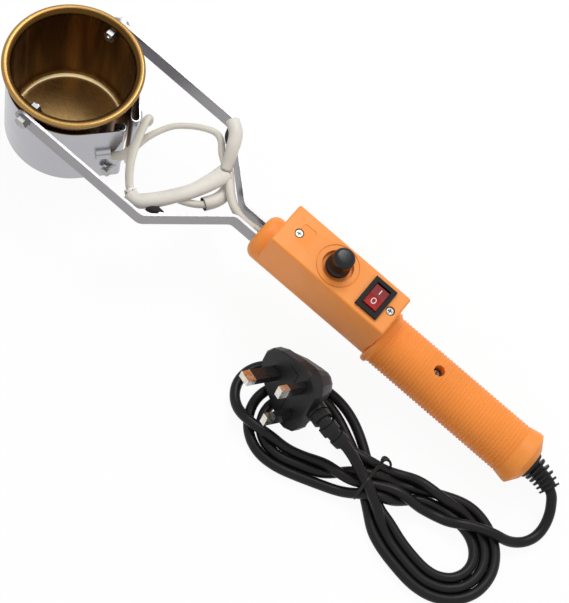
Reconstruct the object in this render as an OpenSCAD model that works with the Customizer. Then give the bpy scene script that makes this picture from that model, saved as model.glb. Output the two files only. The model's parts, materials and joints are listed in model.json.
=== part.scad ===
// Hand-held solder pot: a drawn crucible in a band heater, carried by two bent
// steel arms on a moulded handle with heat dial, switch, mains lead and plug.
// Millimetres. Z is up and z = 0 is the surface the pot stands on.
// X runs from the pot to the handle's tail. The arms and handle are built in
// a tool frame on the arm bolts' line and sloped so the grip's tail rests too.

/* [View] */
// which sub-part to draw

/* [Pot] */
// outer radius of the crucible's wall
pot_r = 36.2; // [28:0.1:50]
// thickness of the crucible's drawn sheet
pot_wall = 1.0; // [0.6:0.1:2]
// height of the rolled rim above the surface
pot_h = 68; // [50:0.5:90]
// reach of the rolled rim past the pot's wall
rim_out = 4.8; // [2.3:0.1:20]
// thickness of the rolled rim
rim_t = 3.4; // [2.4:0.1:5]
// radius of the corner between wall and floor, outside
pot_corner = 5; // [3:0.5:10]
// thickness of the mica heater
heater_t = 1.4; // [1:0.1:2.4]
// height of the mica heater
heater_h = 46; // [30:0.5:60]
// thickness of the steel sheath
sheath_t = 0.6; // [0.4:0.1:1.2]
// top of the sheath above the surface
sheath_top = 54; // [40:0.5:62]
// bottom of the sheath above the surface
sheath_z = 1.5; // [1:0.5:6]
// angle from the handle's side at which the sheath's lugs leave the circle
lug_angle = 41; // [30:1:50]
// length of the near lug's flat
lug_near = 22.5; // [14:0.5:26]
// length of the far lug's flat
lug_far = 25.5; // [14:0.5:28]
// outer radius of the lugs' rolled hems
hem_r = 2.8; // [2:0.1:4]

/* [Arms] */
// height of the arm bolts above the surface
bolt_z = 59.5; // [45:0.5:64]
// thickness of the arm strip
arm_t = 1.6; // [1:0.1:3]
// width of the arm strip
arm_w = 12.5; // [8:0.5:13.5]
// gap between the rim and an arm's inner face
arm_clear = 0.3; // [0.2:0.1:4]
// distance along the tool of the arms' first bend
bend_1 = 86; // [70:1:96]
// distance along the tool of the arms' second bend
bend_2 = 125; // [112:1:132]
// half the gap between the arms where they enter the handle
arm_close = 3.8; // [3.4:0.1:5]
// inside radius of the arms' bends
bend_r = 5; // [3:0.5:10]

/* [Handle] */
// distance from the bolts to the front of the control box
box_x = 149.5; // [142:0.5:165]
// length of the control box
box_l = 81.5; // [76:0.5:100]
// width of the control box
box_w = 28.4; // [27.4:0.2:36]
// height of the box's top above the handle's axis
box_h = 32.4; // [28:0.2:42]
// length of the rounded nose in front of the box
nose_l = 9; // [6:0.5:14]
// wall thickness of the handle's moulding
wall = 2.0; // [1.6:0.1:2.6]
// length of the grip with its end flanges
grip_l = 110; // [90:0.5:130]
// radius of the grip over its ribs
grip_r = 16.1; // [14.8:0.1:20]
// radius of the grip's end flanges
flange_r = 17.5; // [16.8:0.1:22]
// number of fine ribs round the grip
rib_n = 44; // [10:1:50]
// depth of a grip rib
rib_d = 0.45; // [0.2:0.05:0.8]

/* [Controls] */
// distance from the box's front to the heat dial
dial_at = 38; // [33:0.5:42]
// radius of the recess round the heat dial
dial_recess = 9.4; // [9:0.1:11]
// radius of the dial's skirt
knob_r = 7.2; // [6.6:0.1:8]
// height of the dial above the box's top
knob_h = 14.5; // [11:0.5:20]
// distance from the box's rear to the middle of the switch
switch_back = 16; // [15:0.5:20]
// length of the switch bezel across the handle
bezel_w = 21.2; // [20.8:0.1:22]
// width of the switch bezel along the handle
bezel_l = 15.1; // [14.8:0.1:16]
// height of the switch bezel above the box's top
bezel_h = 1.8; // [1.2:0.1:2.5]
// how far the rocker is tipped either way
rocker_tilt = 9; // [6:0.5:11]

/* [Mains lead] */
// diameter of the mains lead
lead_d = 6.2; // [5:0.1:7]
// width of the plug's face
plug_w = 44; // [42:0.5:50]
// length of the plug's face along the lead
plug_l = 46; // [43:0.5:52]
// depth of the plug's body
plug_h = 21; // [18:0.5:26]

/* [Heater leads] */
// diameter of the fibreglass lead sleeves
sleeve_d = 5; // [4:0.1:6]
// diameter of the wide splice sleeves
splice_d = 8.2; // [7.6:0.1:9]

/* [Hidden] */
$fn = 48;
eps = 0.01;
fit = 0.1;
grip_x = box_x + box_l;
rim_r = pot_r + rim_out;
switch_at = box_l - switch_back;
tail_x = grip_x + grip_l;
flange_t = 4;
smooth_t = 6;
rest_x = tail_x - 1.2;
slope = asin(bolt_z / norm([rest_x, flange_r])) - atan2(flange_r, rest_x);
pot_in = pot_r - pot_wall;
heater_r = pot_r + fit + heater_t;
sheath_r = heater_r + fit + sheath_t;
mid_r = sheath_r - sheath_t / 2;
arm_in = rim_r + arm_clear;
bolt_d = 4;
screw_d = 3;
box_r = box_w / 2;
nose_r = box_r;
cav_r = box_r - wall;
grip_in = grip_r - rib_d - 2.2;
front_screw = 10;
rear_screw = box_l - 5.2;
grip_screw_at = 38.5;
grip_well = 7.5;
boss_d = 6.6;
anchor_at = 70;
lead_from = anchor_at - 18;
board_from = 22;
pcb_z = 6;
clamp_x = 41.4;
clamp_z = 13;
lead_out = 30;
relief_x0 = tail_x + 5.6;
recess_d = 3;

// frames -----------------------------------------------------------------

module tool() {
  translate([0, 0, bolt_z])
    rotate([0, slope, 0])
      children();
}

module box_frame() {
  tool()
    translate([box_x, 0, 0])
      children();
}

// hex prism along z, a across the flats
module hex(a, h) {
  cylinder(d = a / cos(30), h = h, $fn = 6);
}

// points of an arc in plan
function arc(c, r, a0, a1, n) =
  [for (i = [0:n]) c + r * [cos(a0 + (a1 - a0) * i / n), sin(a0 + (a1 - a0) * i / n)]];

// swept tubes -------------------------------------------------------------

function unit(v) = v / norm(v);
function cr(a, b, c, d, t) =
  0.5 * (2 * b + (c - a) * t + (2 * a - 5 * b + 4 * c - d) * t * t
    + (3 * b - a - 3 * c + d) * t * t * t);
function smooth(p, n) = concat(
  [for (i = [0:len(p) - 2])
    for (j = [0:n - 1])
      cr(p[max(i - 1, 0)], p[i], p[i + 1], p[min(i + 2, len(p) - 1)], j / n)],
  [p[len(p) - 1]]);
function heading(p) =
  [for (i = [0:len(p) - 1]) unit(p[min(i + 1, len(p) - 1)] - p[max(i - 1, 0)])];
function first_side(t) = unit(cross(t, abs(t.z) < 0.8 ? [0, 0, 1] : [0, 1, 0]));
function carry(t, i, side, acc) =
  i == len(t) ? acc
  : let (s = unit(side - t[i] * (side * t[i]))) carry(t, i + 1, s, concat(acc, [s]));
function ring(c, t, s, a, b, k) =
  [for (j = [0:k - 1]) c + s * a * cos(360 * j / k) + cross(t, s) * b * sin(360 * j / k)];

// tube along the points p, half widths a and b, k sides
module tube(p, a, b, k) {
  t = heading(p);
  s = carry(t, 0, first_side(t[0]), []);
  n = len(p);
  pts = [for (i = [0:n - 1]) for (v = ring(p[i], t[i], s[i], a, b, k)) v];
  side = [for (i = [0:n - 2]) for (j = [0:k - 1])
    for (f = [[i * k + j, (i + 1) * k + j, (i + 1) * k + (j + 1) % k],
              [i * k + j, (i + 1) * k + (j + 1) % k, i * k + (j + 1) % k]]) f];
  near = [[for (j = [0:k - 1]) j]];
  far = [[for (j = [0:k - 1]) n * k - 1 - j]];
  polyhedron(points = pts, faces = concat(side, near, far), convexity = 8);
}

// pot ---------------------------------------------------------------------

// drawn cup: outline from the axis out, up the wall and over the rolled rim
module crucible() {
  lip = rim_t / 2;
  lip_x = rim_r - lip;
  c = pot_corner;
  color([0.72, 0.55, 0.28])
    difference() {
      rotate_extrude(angle = 360)
        polygon(concat(
          [[0, 0]],
          [for (a = [-90:15:0]) [pot_r - c + c * cos(a), c + c * sin(a)]],
          [for (a = [90:-11:35]) [lip_x - (lip_x - pot_r) * sin(a), pot_h - rim_t + (rim_t - 1) * cos(a)]],
          [for (a = [180:15:435]) [lip_x + lip * cos(a), pot_h - lip + lip * sin(a)]],
          [for (a = [0:10:90]) [lip_x - (lip_x - pot_in) * sin(a), pot_h - rim_t + rim_t * cos(a)]],
          [for (a = [0:-15:-90]) [pot_r - c + (c - pot_wall) * cos(a), c + (c - pot_wall) * sin(a)]],
          [[0, pot_wall]]));
      translate([0, 2 * rim_r, bolt_z])
        rotate([90, 0, 0])
          cylinder(d = bolt_d + 0.1, h = 4 * rim_r);
    }
}

module heater_band() {
  color([0.55, 0.48, 0.36])
    translate([0, 0, sheath_z + 3])
      rotate([0, 0, lug_angle])
        rotate_extrude(angle = 360 - 2 * lug_angle)
          translate([pot_r + fit, 0])
            square([heater_t, heater_h]);
}

// a lug's frame: x runs out along its flat, y = 0 is the sheet's middle
module lug_frame(side) {
  translate([mid_r * cos(lug_angle), side * mid_r * sin(lug_angle)])
    rotate([0, 0, side * (lug_angle - 90)])
      children();
}

// points of one side of the sheath in plan, seen in a far lug's frame
function curl(len, r) = arc([len, sheath_t / 2 - hem_r], r, 90, -90, 8);
function to_plan(side, p) = let (a = lug_angle - 90)
  [mid_r * cos(lug_angle) + p.x * cos(a) - p.y * sin(a),
   side * (mid_r * sin(lug_angle) + p.x * sin(a) + p.y * cos(a))];

// open band with both lugs and their rolled hems as one sheet
module sheath_plan() {
  far = concat(curl(lug_far, hem_r), [[lug_far - 3.5, sheath_t / 2 - 2 * hem_r],
    [lug_far - 3.5, 1.5 * sheath_t - 2 * hem_r]]);
  far_in = arc([lug_far, sheath_t / 2 - hem_r], hem_r - sheath_t, -90, 90, 8);
  near = concat(curl(lug_near, hem_r), [[lug_near - 3.5, sheath_t / 2 - 2 * hem_r],
    [lug_near - 3.5, 1.5 * sheath_t - 2 * hem_r]]);
  near_in = arc([lug_near, sheath_t / 2 - hem_r], hem_r - sheath_t, -90, 90, 8);
  n = 80;
  turn = 360 - 2 * lug_angle;
  polygon(concat(
    arc([0, 0], sheath_r, lug_angle, lug_angle + turn, n),
    [for (p = near) to_plan(-1, p)],
    [for (p = near_in) to_plan(-1, p)],
    arc([0, 0], sheath_r - sheath_t, lug_angle + turn, lug_angle, n),
    [for (i = [len(far_in) - 1:-1:0]) to_plan(1, far_in[i])],
    [for (i = [len(far) - 1:-1:0]) to_plan(1, far[i])]));
}

// pressed hood where a heater lead leaves a lug
module hood(side) {
  lug_frame(side)
    translate([8.5, 0, lead_out])
      rotate([0, 90, 0])
        difference() {
          cylinder(r = 3.9, h = 8.5);
          translate([0, 0, 0.8])
            cylinder(r = 3.2, h = 9);
          translate([-6, side < 0 ? 0 : -6, -1])
            cube([12, 6, 12]);
        }
}

module heater_sheath() {
  color([0.78, 0.79, 0.82])
    difference() {
      union() {
        translate([0, 0, sheath_z])
          linear_extrude(height = sheath_top - sheath_z)
            sheath_plan();
        hood(-1);
        hood(1);
      }
      // lead outlets and the clamp screw's holes
      for (s = [-1, 1])
        lug_frame(s)
          translate([12.6, 4 - s * 2.4, lead_out])
            rotate([90, 0, 0])
              cylinder(d = 4.2, h = 4.8 + 3.2);
      translate([clamp_x, 40, clamp_z])
        rotate([90, 0, 0])
          cylinder(d = 3.6, h = 80);
    }
}

function lug_y(x) = mid_r * sin(lug_angle) - (x - mid_r * cos(lug_angle)) / tan(lug_angle);
head_y = lug_y(clamp_x - 3.2) + sheath_t + 0.4;

module clamp_screw() {
  color([0.8, 0.8, 0.8])
    translate([clamp_x, -head_y, clamp_z])
      rotate([-90, 0, 0])
        union() {
          translate([0, 0, -2.2])
            hex(5.5, 2.2);
          translate([0, 0, -0.1])
            cylinder(d = 3, h = 2 * head_y + 4);
        }
}

module clamp_nut() {
  color([0.8, 0.8, 0.8])
    translate([clamp_x, head_y, clamp_z])
      rotate([-90, 0, 0])
        difference() {
          hex(5.5, 2.4);
          translate([0, 0, -1])
            cylinder(d = 3.04, h = 5);
        }
}

// arms --------------------------------------------------------------------

arm_y = arm_in + arm_t / 2;
close_y = arm_close + arm_t / 2;
arm_end = box_x + 20;
arm_hole = 15;

lean = atan2(arm_y - close_y, bend_2 - bend_1);
set = (bend_r + arm_t / 2) * tan(lean / 2);
run_1 = bend_1 - set;

module arm() {
  c1 = [run_1, arm_y - bend_r - arm_t / 2];
  c2 = [bend_2 + set, close_y + bend_r + arm_t / 2];
  ro = bend_r + arm_t;
  difference() {
    union() {
      translate([0, 0, -arm_w / 2])
        linear_extrude(height = arm_w)
          polygon(concat([[0, arm_y + arm_t / 2]],
            arc(c1, ro, 90, 90 - lean, 6), arc(c2, bend_r, -90 - lean, -90, 6),
            [[arm_end, close_y + arm_t / 2], [arm_end, close_y - arm_t / 2]],
            arc(c2, ro, -90, -90 - lean, 6), arc(c1, bend_r, 90 - lean, 90, 6),
            [[0, arm_y - arm_t / 2]]));
      translate([0, arm_y + arm_t / 2, 0])
        rotate([90, 0, 0])
          cylinder(d = arm_w, h = arm_t);
    }
    translate([0, arm_y + 5, 0])
      rotate([90, 0, 0])
        cylinder(d = bolt_d + 0.1, h = 10);
    translate([box_x + arm_hole, close_y + 5, 0])
      rotate([90, 0, 0])
        cylinder(d = bolt_d + 0.1, h = 10);
  }
}

module arm_far() {
  color([0.75, 0.75, 0.78])
    tool()
      arm();
}

module arm_near() {
  color([0.75, 0.75, 0.78])
    tool()
      mirror([0, 1, 0])
        arm();
}

module each_side() {
  for (s = [0, 1])
    mirror([0, s, 0])
      children();
}

bolt_head = arm_in + arm_t;
nut_y = sqrt(pot_in * pot_in - 16.4) - 0.05;
bolt_tip = nut_y - 3.2 - 1.4;

module pot_bolts() {
  color([0.8, 0.8, 0.8])
    each_side()
      translate([0, bolt_head, bolt_z])
        rotate([90, 0, 0])
          union() {
            translate([0, 0, -3.4])
              hex(7, 2.8);
            translate([0, 0, -0.6])
              cylinder(d = 8.8, h = 0.6);
            cylinder(d = bolt_d, h = bolt_head - bolt_tip);
          }
}

module pot_spacers() {
  color([0.7, 0.7, 0.7])
    each_side()
      translate([0, arm_in, bolt_z])
        rotate([90, 0, 0])
          difference() {
            cylinder(d = 7.6, h = arm_in - pot_r - 0.02);
            translate([0, 0, -1])
              cylinder(d = bolt_d + 0.1, h = 20);
          }
}

module pot_nuts() {
  color([0.8, 0.8, 0.8])
    each_side()
      translate([0, nut_y, bolt_z])
        rotate([90, 0, 0])
          difference() {
            hex(7, 3.2);
            translate([0, 0, -1])
              cylinder(d = bolt_d + 0.04, h = 6);
          }
}

// block between the arms, which takes the front case screw
module arm_block() {
  color([0.82, 0.82, 0.84])
    box_frame()
      difference() {
        translate([wall + 0.6, -arm_close + 0.05, -5])
          cube([17, 2 * arm_close - 0.1, 10]);
        translate([arm_hole, 10, 0])
          rotate([90, 0, 0])
            cylinder(d = bolt_d + 0.1, h = 20);
        translate([front_screw, 0, -3])
          cylinder(d = screw_d - 0.1, h = 12);
      }
}

module arm_screws() {
  y0 = arm_close + arm_t;
  color([0.8, 0.8, 0.8])
    box_frame()
      translate([arm_hole, 0, 0])
        rotate([90, 0, 0])
          union() {
            translate([0, 0, -y0 - 2.4])
              hex(7, 2.4);
            translate([0, 0, -y0 - 0.1])
              cylinder(d = bolt_d, h = 2 * y0 + 2.8);
            translate([0, 0, y0])
              hex(7, 2.4);
          }
}

// handle ------------------------------------------------------------------

// half of a turned shape about the handle's axis; up is 1 top, -1 bottom
module half_turn(up) {
  rotate([0, 90, 0])
    rotate([0, 0, up > 0 ? 90 : -90])
      rotate_extrude(angle = 180)
        children();
}

// outline of the grip from the axis out: [radius, distance along]
module grip_outline() {
  g0 = box_l;
  pitch = (grip_l - 2 * flange_t - smooth_t) / rib_n;
  body = grip_r - rib_d;
  polygon(concat(
    [[0, g0 - 1], [nose_r - 0.1, g0 - 1], [nose_r - 0.1, g0], [flange_r - 0.8, g0]],
    [[flange_r, g0 + 0.8], [flange_r, g0 + flange_t - 1]],
    [[grip_r, g0 + flange_t]],
    [for (i = [0:rib_n - 1])
      for (v = [[grip_r, g0 + flange_t + i * pitch + 0.35 * pitch],
                [body, g0 + flange_t + i * pitch + 0.5 * pitch],
                [body, g0 + flange_t + i * pitch + 0.85 * pitch],
                [grip_r, g0 + flange_t + (i + 1) * pitch - 0.002]]) v],
    [[flange_r, g0 + grip_l - flange_t + 1], [flange_r, g0 + grip_l - 1.2],
     [flange_r - 1.6, g0 + grip_l], [11, g0 + grip_l + 3.4], [0, g0 + grip_l + 3.4]]));
}

module grip_hollow() {
  polygon([[0, box_l - 3], [cav_r, box_l - 3], [cav_r, box_l + 2], [grip_in, box_l + 4],
    [grip_in, box_l + grip_l - 3.5],
    [10, box_l + grip_l + 1.2], [0, box_l + grip_l + 1.2]]);
}

module nose_outline() {
  polygon(concat([[0, 1], [nose_r, 1], [nose_r, 6 - nose_l]],
    [for (a = [0:7.5:90]) [nose_r - 6 + 6 * cos(a), 6 - nose_l - 6 * sin(a)]],
    [[0, -nose_l]]));
}

module handle_bores() {
  // arms and lead slot through the nose
  translate([-nose_l - 1, -close_y - arm_t / 2 - 0.15, -arm_w / 2 - 0.15])
    cube([nose_l + 4, 2 * close_y + arm_t + 0.3, arm_w + 0.3]);
  // strain relief's neck
  translate([box_l + grip_l - 1, 0, 0])
    rotate([0, 90, 0])
      cylinder(r = 6.05, h = 8);
}

module handle_top() {
  color([0.96, 0.55, 0.2])
    box_frame()
      difference() {
        union() {
          difference() {
            union() {
              half_turn(1)
                nose_outline();
              intersection() {
                translate([0, -box_r, 0])
                  cube([box_l, box_w, box_h]);
                translate([box_l / 2, 0, box_h - 40])
                  rotate([0, 0, 0])
                    rounded(box_l, box_w, 40, 1.4);
              }
              half_turn(1)
                grip_outline();
            }
            translate([wall, -box_r + wall, -1])
              cube([box_l - 2 * wall, box_w - 2 * wall, box_h - wall + 1]);
            half_turn(1)
              grip_hollow();
            translate([-nose_l + 2.4, 0, 0])
              rotate([0, 90, 0])
                cylinder(r = nose_r - 4, h = nose_l + 2);
            translate([-20, -30, -20])
              cube([box_l + grip_l + 60, 60, 20.05]);
          }
          difference() {
            union() {
              translate([dial_at, 0, box_h - recess_d - wall])
                cylinder(r = dial_recess + wall, h = recess_d + wall - 0.5);
              translate([front_screw, 0, 5.4])
                cylinder(d = boss_d, h = box_h - 6.4);
              translate([rear_screw, 0, 0.1])
                cylinder(d = boss_d, h = box_h - 1.1);
              translate([rear_screw, -1.5, 0.1])
                cube([box_l - rear_screw - 0.5, 3, box_h - 1.1]);
              translate([box_l + grip_screw_at, 0, 0.1])
                cylinder(d = boss_d + 3.2, h = grip_r - 1.5);
            }
          }
        }
        handle_bores();
        // case screws
        for (p = [front_screw, rear_screw]) {
          translate([p, 0, box_h - 1.6])
            cylinder(d = 5.6, h = 4);
          translate([p, 0, -1])
            cylinder(d = screw_d + 0.3, h = box_h + 2);
        }
        translate([box_l + grip_screw_at, 0, grip_r - grip_well])
          cylinder(d = 6.6, h = 20);
        translate([box_l + grip_screw_at, 0, -1])
          cylinder(d = screw_d + 0.3, h = 20);
        // dial recess and ring
        translate([dial_at, 0, box_h - 0.5])
          ring_groove();
        translate([dial_at, 0, box_h - recess_d])
          cylinder(r = dial_recess, h = 5);
        translate([dial_at, 0, box_h - 9])
          cylinder(d = 7.1, h = 12);
        // switch opening
        translate([switch_at - 6.6, -9.6, box_h - 5])
          cube([13.2, 19.2, 8]);
        // blank label field
        translate([13.5, 1.2, box_h - 0.3])
          linear_extrude(height = 2)
            rounded_2d(9, 12, 2);
      }
}

module ring_groove() {
  difference() {
    cylinder(r = dial_recess + 3.4, h = 2);
    translate([0, 0, -1])
      cylinder(r = dial_recess + 2.8, h = 4);
  }
}

module rounded_2d(a, b, r) {
  union() {
    square([a - 2 * r, b], center = true);
    square([a, b - 2 * r], center = true);
    for (x = [-1, 1])
      for (y = [-1, 1])
        translate([x * (a / 2 - r), y * (b / 2 - r)])
          circle(r = r);
  }
}

// block with its upper edges and upright corners rounded
module rounded(l, w, h, r) {
  translate([0, 0, 0])
    union() {
      linear_extrude(height = h - r)
        rounded_2d(l, w, r);
      translate([-l / 2 + r, -w / 2 + r, h - r - eps])
        cube([l - 2 * r, w - 2 * r, r + eps]);
      for (y = [-1, 1])
        translate([-l / 2 + r, y * (w / 2 - r), h - r])
          rotate([0, 90, 0])
            cylinder(r = r, h = l - 2 * r);
      for (x = [-1, 1])
        translate([x * (l / 2 - r), -w / 2 + r, h - r])
          rotate([-90, 0, 0])
            cylinder(r = r, h = w - 2 * r);
      for (x = [-1, 1])
        for (y = [-1, 1])
          translate([x * (l / 2 - r), y * (w / 2 - r), h - r])
            sphere(r = r);
    }
}

module handle_base() {
  color([0.96, 0.55, 0.2])
    box_frame()
      difference() {
        union() {
          difference() {
            union() {
              half_turn(-1)
                nose_outline();
              half_turn(-1)
                polygon([[0, 0], [box_r, 0], [box_r, box_l], [0, box_l]]);
              half_turn(-1)
                grip_outline();
            }
            translate([wall, 0, 0])
              rotate([0, 90, 0])
                cylinder(r = cav_r, h = box_l - 2 * wall);
            half_turn(-1)
              grip_hollow();
            translate([-nose_l + 2.4, 0, 0])
              rotate([0, 90, 0])
                cylinder(r = nose_r - 4, h = nose_l + 3);
            translate([-20, -30, -0.05])
              cube([box_l + grip_l + 60, 60, 20]);
          }
          translate([rear_screw, 0, -box_r + 1])
            cylinder(d = boss_d, h = box_r - 1.1);
          translate([rear_screw, -1.5, -box_r + 2])
            cube([box_l - rear_screw - 0.5, 3, box_r - 2.1]);
          translate([box_l + grip_screw_at, 0, -grip_r + 1.5])
            cylinder(d = boss_d, h = grip_r - 1.6);
          translate([front_screw, 0, -box_r + 1])
            cylinder(d = boss_d, h = 5.4);
        }
        handle_bores();
        translate([rear_screw, 0, -9])
          cylinder(d = screw_d - 0.1, h = 12);
        translate([box_l + grip_screw_at, 0, -9])
          cylinder(d = screw_d - 0.1, h = 12);
      }
}

module pan_screw(len, head) {
  difference() {
    union() {
      cylinder(d = head, h = 1.1);
      translate([0, 0, -len])
        cylinder(d = screw_d - 0.1, h = len + 0.1);
    }
    for (a = [0, 90])
      rotate([0, 0, a + 20])
        translate([-1.5, -0.3, 0.5])
          cube([3, 0.6, 2]);
  }
}

module case_screws() {
  color([0.85, 0.85, 0.86])
    box_frame()
      union() {
        translate([front_screw, 0, box_h - 1.6])
          pan_screw(box_h - 9, 5.2);
        translate([rear_screw, 0, box_h - 1.6])
          pan_screw(box_h + 6, 5.2);
      }
}

module grip_screw() {
  color([0.85, 0.85, 0.86])
    box_frame()
      translate([box_l + grip_screw_at, 0, grip_r - grip_well])
        pan_screw(15, 5.6);
}

// controls ----------------------------------------------------------------

shaft_d = 6;
shaft_top = box_h + knob_h - 4;

module dial_knob() {
  k = knob_h - 2.4;
  color([0.08, 0.08, 0.09])
    box_frame()
      translate([dial_at, 0, box_h - 0.7])
        difference() {
          rotate_extrude(angle = 360)
            polygon(concat([[0, 0], [knob_r, 0], [knob_r, 1.7], [knob_r - 0.6, 2.5],
              [knob_r - 1.2, 5], [knob_r - 1.3, k + 0.4]],
              arc([knob_r - 2.7, k + 0.4], 1.4, 0, 75, 5), [[0, knob_h + 0.7]]));
          translate([0, 0, -1])
            cylinder(d = shaft_d, h = shaft_top - box_h + 1.7 + 0.1);
          // room for the control's bush and nut
          translate([0, 0, -1])
            cylinder(d = 8, h = 2.5);
        }
}

module dial_shaft() {
  color([0.8, 0.8, 0.8])
    box_frame()
      translate([dial_at, 0, box_h - wall - 8])
        cylinder(d = shaft_d, h = shaft_top - box_h + wall + 8);
}

// potentiometer: its bush comes up through the recess's floor
module dial_control() {
  z1 = box_h - recess_d - wall - 0.05;
  color([0.45, 0.42, 0.35])
    box_frame()
      translate([dial_at, 0, 0])
        difference() {
          union() {
            translate([0, 0, z1 - 9])
              cylinder(d = 16.4, h = 9);
            translate([0, 0, z1 - 0.1])
              cylinder(d = 6.9, h = wall + recess_d + 0.6);
            for (y = [-5, 0, 5])
              translate([-11.5, y - 1, z1 - 7.5])
                cube([5, 2, 0.8]);
          }
          translate([0, 0, z1 - 7])
            cylinder(d = shaft_d + 0.1, h = 20);
        }
}

module dial_nut() {
  color([0.8, 0.8, 0.8])
    box_frame()
      translate([dial_at, 0, box_h - recess_d + 0.02])
        difference() {
          hex(10, 1.8);
          translate([0, 0, -1])
            cylinder(d = 6.94, h = 5);
        }
}

rocker_z = box_h - 1.6;

module switch_body() {
  color([0.09, 0.09, 0.1])
    box_frame()
      translate([switch_at, 0, box_h])
        difference() {
          union() {
            translate([-bezel_l / 2, -bezel_w / 2, 0.02])
              cube([bezel_l, bezel_w, bezel_h]);
            translate([-6.4, -9.4, -17])
              cube([12.8, 18.8, 17.1]);
            for (y = [-5.6, 0, 5.6])
              translate([-2.4, y - 0.4, -24])
                cube([4.8, 0.8, 7.2]);
          }
          translate([-4.8, -8, -8])
            cube([9.6, 16, 20]);
          translate([-6, 0, rocker_z - box_h])
            rotate([0, 90, 0])
              cylinder(d = 2.1, h = 12);
        }
}

// rocker in plan across the handle, tipped by rocker_tilt
module switch_rocker() {
  r = 20;
  color([0.75, 0.08, 0.06])
    box_frame()
      translate([switch_at, 0, rocker_z])
        rotate([rocker_tilt, 0, 0])
          union() {
            intersection() {
              translate([-4.5, -7.3, -3])
                cube([9, 14.6, 12]);
              difference() {
                translate([-5, 0, 0])
                  rotate([0, 90, 0])
                    cylinder(r = 7.6, h = 10);
                translate([-6, 0, r + 3.4])
                  rotate([0, 90, 0])
                    cylinder(r = r, h = 12);
              }
            }
            translate([-5.7, 0, 0])
              rotate([0, 90, 0])
                cylinder(d = 2, h = 11.4);
          }
}

// inside the handle --------------------------------------------------------

module control_board() {
  color([0.1, 0.4, 0.2])
    box_frame()
      difference() {
        translate([board_from, -cav_r + 0.5, pcb_z])
          cube([box_l - board_from - 12, 2 * cav_r - 1, 1.6]);
        translate([dial_at, 0, 0])
          cylinder(d = 3, h = 20);
      }
}

module triac() {
  color([0.12, 0.12, 0.12])
    box_frame()
      union() {
        translate([24, -5, pcb_z + 4.6])
          cube([4.4, 10, 8]);
        for (y = [-2.6, 0, 2.6])
          translate([25.6, y - 0.4, pcb_z + 1.6])
            cube([0.8, 0.8, 3.1]);
      }
}

module heat_sink() {
  color([0.7, 0.7, 0.72])
    box_frame()
      translate([28.5, 0, pcb_z + 1.65])
        union() {
          translate([0, -9, 0])
            cube([1.6, 18, 10]);
          for (y = [-9, -4.85, -0.7, 3.45, 7.6])
            translate([1.5, y, 0])
              cube([5, 1.4, 10]);
        }
}

module terminal_block() {
  color([0.2, 0.35, 0.3])
    box_frame()
      difference() {
        translate([switch_at - 17.5, -9, pcb_z + 1.65])
          cube([8, 18, 9]);
        for (y = [-6, 0, 6])
          translate([switch_at - 25.5, y, pcb_z + 5])
            rotate([0, 90, 0])
              cylinder(d = 3, h = 14);
      }
}

module lead_clamp() {
  color([0.9, 0.9, 0.88])
    box_frame()
      translate([box_l + anchor_at, 0, 0])
        difference() {
          translate([-4, -10, lead_d / 2 - 0.9])
            cube([8, 20, 3]);
          rotate([0, 90, 0])
            cylinder(d = lead_d + 0.1, h = 20, center = true);
          for (y = [-7, 7])
            translate([0, y, 0])
              cylinder(d = 2.8, h = 9);
        }
}

module clamp_screws() {
  color([0.8, 0.8, 0.8])
    box_frame()
      translate([box_l + anchor_at, 0, 0])
        for (y = [-7, 7])
          translate([0, y, lead_d / 2 + 2.1])
            union() {
              cylinder(d = 4.6, h = 1.6);
              translate([0, 0, -11])
                cylinder(d = 2.6, h = 11.1);
            }
}

module inner_lead() {
  color([0.07, 0.07, 0.07])
    box_frame()
      translate([box_l + lead_from, 0, 0])
        rotate([0, 90, 0])
          cylinder(d = lead_d, h = grip_l - lead_from + 1);
}

// mains lead ---------------------------------------------------------------

relief_r = 34;
relief_a = 28;
relief_n = 5;
fin_r = lead_d / 2 + 4;
core_r = lead_d / 2 + 1.4;

// curved, finned sleeve at the tail: fins stand square to its bend
module strain_relief() {
  color([0.06, 0.06, 0.06])
    box_frame()
      translate([box_l + grip_l, 0, 0])
        difference() {
          union() {
            translate([1, 0, 0])
              rotate([0, 90, 0])
                cylinder(r = 6, h = 4);
            translate([3.45, 0, 0])
              rotate([0, 90, 0])
                cylinder(r1 = 9.2, r2 = 8, h = 2.2);
            translate([-1, 0, 0])
              rotate([0, 90, 0])
                cylinder(r = 8, h = 2.1);
            translate([5.6, -relief_r, 0])
              rotate([0, 0, 90 - relief_a])
                rotate_extrude(angle = relief_a)
                  translate([relief_r, 0])
                    circle(r = core_r);
            for (i = [1:relief_n])
              translate([5.6, -relief_r, 0])
                rotate([0, 0, -relief_a * (i - 0.42) / relief_n])
                  translate([0, relief_r, 0])
                    rotate([0, 90, 0])
                      cylinder(r1 = fin_r + 0.9 - 0.3 * i, r2 = fin_r + 0.6 - 0.3 * i, h = 1.2);
          }
          translate([-4, 0, 0])
            rotate([0, 90, 0])
              cylinder(d = lead_d + 0.1, h = 5);
        }
}

relief_end = [relief_x0 + relief_r * sin(relief_a), -relief_r * (1 - cos(relief_a)), 0];
relief_out = [cos(relief_a), -sin(relief_a), 0];

function world(p) = [p.x * cos(slope) + p.z * sin(slope), p.y,
  bolt_z - p.x * sin(slope) + p.z * cos(slope)];

lead_z = lead_d / 2 + 0.05;
lead_pts = [world(relief_end + 0.05 * relief_out), world(relief_end + 2.5 * relief_out),
  [367, -8, 14.3], [370.3, -12, 12], [372.3, -16.5, 9.4], [373.1, -21.7, 6.9],
  [372.5, -27, 4.9], [370.5, -31.7, 3.7], [367.3, -35.8, lead_z], [363, -39.2, lead_z],
  [353, -45.5, lead_z]];

module mains_lead() {
  color([0.07, 0.07, 0.07])
    tube(smooth(lead_pts, 3), lead_d / 2, lead_d / 2, 12);
}

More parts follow.
